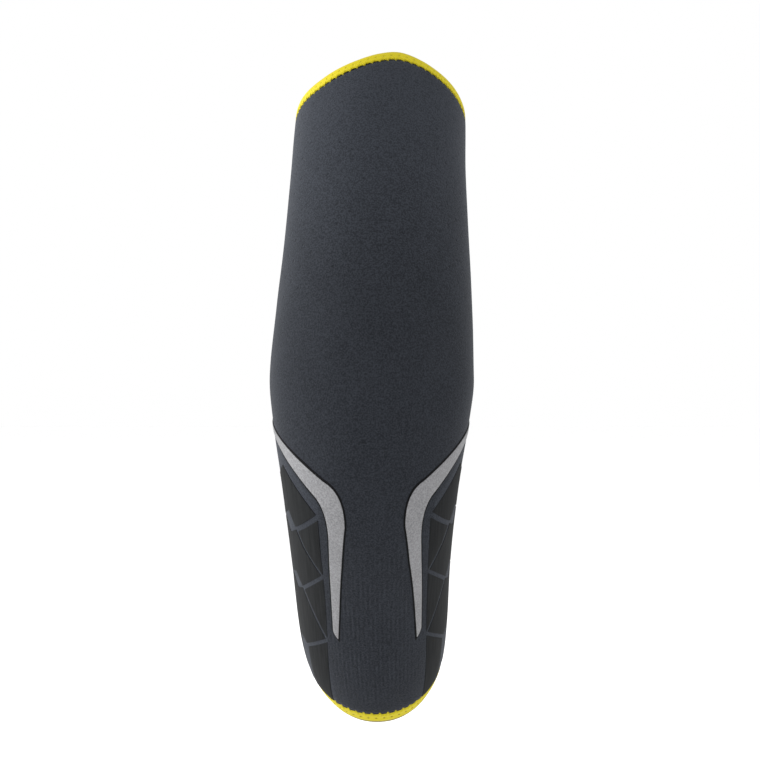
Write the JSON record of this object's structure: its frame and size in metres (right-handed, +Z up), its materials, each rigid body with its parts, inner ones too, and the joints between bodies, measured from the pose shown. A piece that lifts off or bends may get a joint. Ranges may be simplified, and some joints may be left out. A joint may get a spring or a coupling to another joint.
{
  "type": "elbow sleeve",
  "caption": "Slip-on elbow support sleeve in its slightly bent worn form: a knit-faced foam tube with folded edge tapes, silver stripes and raised grip pads.",
  "frame": {"origin": "middle of the hollow at the elbow's widest height", "axes": "+Z up the arm at the elbow, -Y towards the back of the elbow, +X to the right as seen from behind"},
  "size_m": [0.0798, 0.1202, 0.2701],
  "materials": {
    "knit": "heather knit face on foam rubber",
    "edge_tape": "soft folded tape",
    "stripe_backing": "matte heat-pressed film",
    "silver_film": "silver reflective film",
    "grip_film": "smooth satin silicone film"
  },
  "bodies": {
    "root": {"sleeve_body": "knit", "top_edge_tape": "edge_tape", "bottom_edge_tape": "edge_tape", "left_stripe_backing": "stripe_backing", "left_silver_stripe": "silver_film", "left_pad_cap": "grip_film", "left_pad_upper_back": "grip_film", "left_pad_upper_front": "grip_film", "left_pad_upper_middle": "grip_film", "left_pad_lower_back": "grip_film", "left_pad_lower_front": "grip_film", "left_pad_lower_middle": "grip_film", "left_pad_foot_back": "grip_film", "left_pad_foot_front": "grip_film", "right_stripe_backing": "stripe_backing", "right_silver_stripe": "silver_film", "right_pad_cap": "grip_film", "right_pad_upper_back": "grip_film", "right_pad_upper_front": "grip_film", "right_pad_upper_middle": "grip_film", "right_pad_lower_back": "grip_film", "right_pad_lower_front": "grip_film", "right_pad_lower_middle": "grip_film", "right_pad_foot_back": "grip_film", "right_pad_foot_front": "grip_film"}
  },
  "joints": []
}
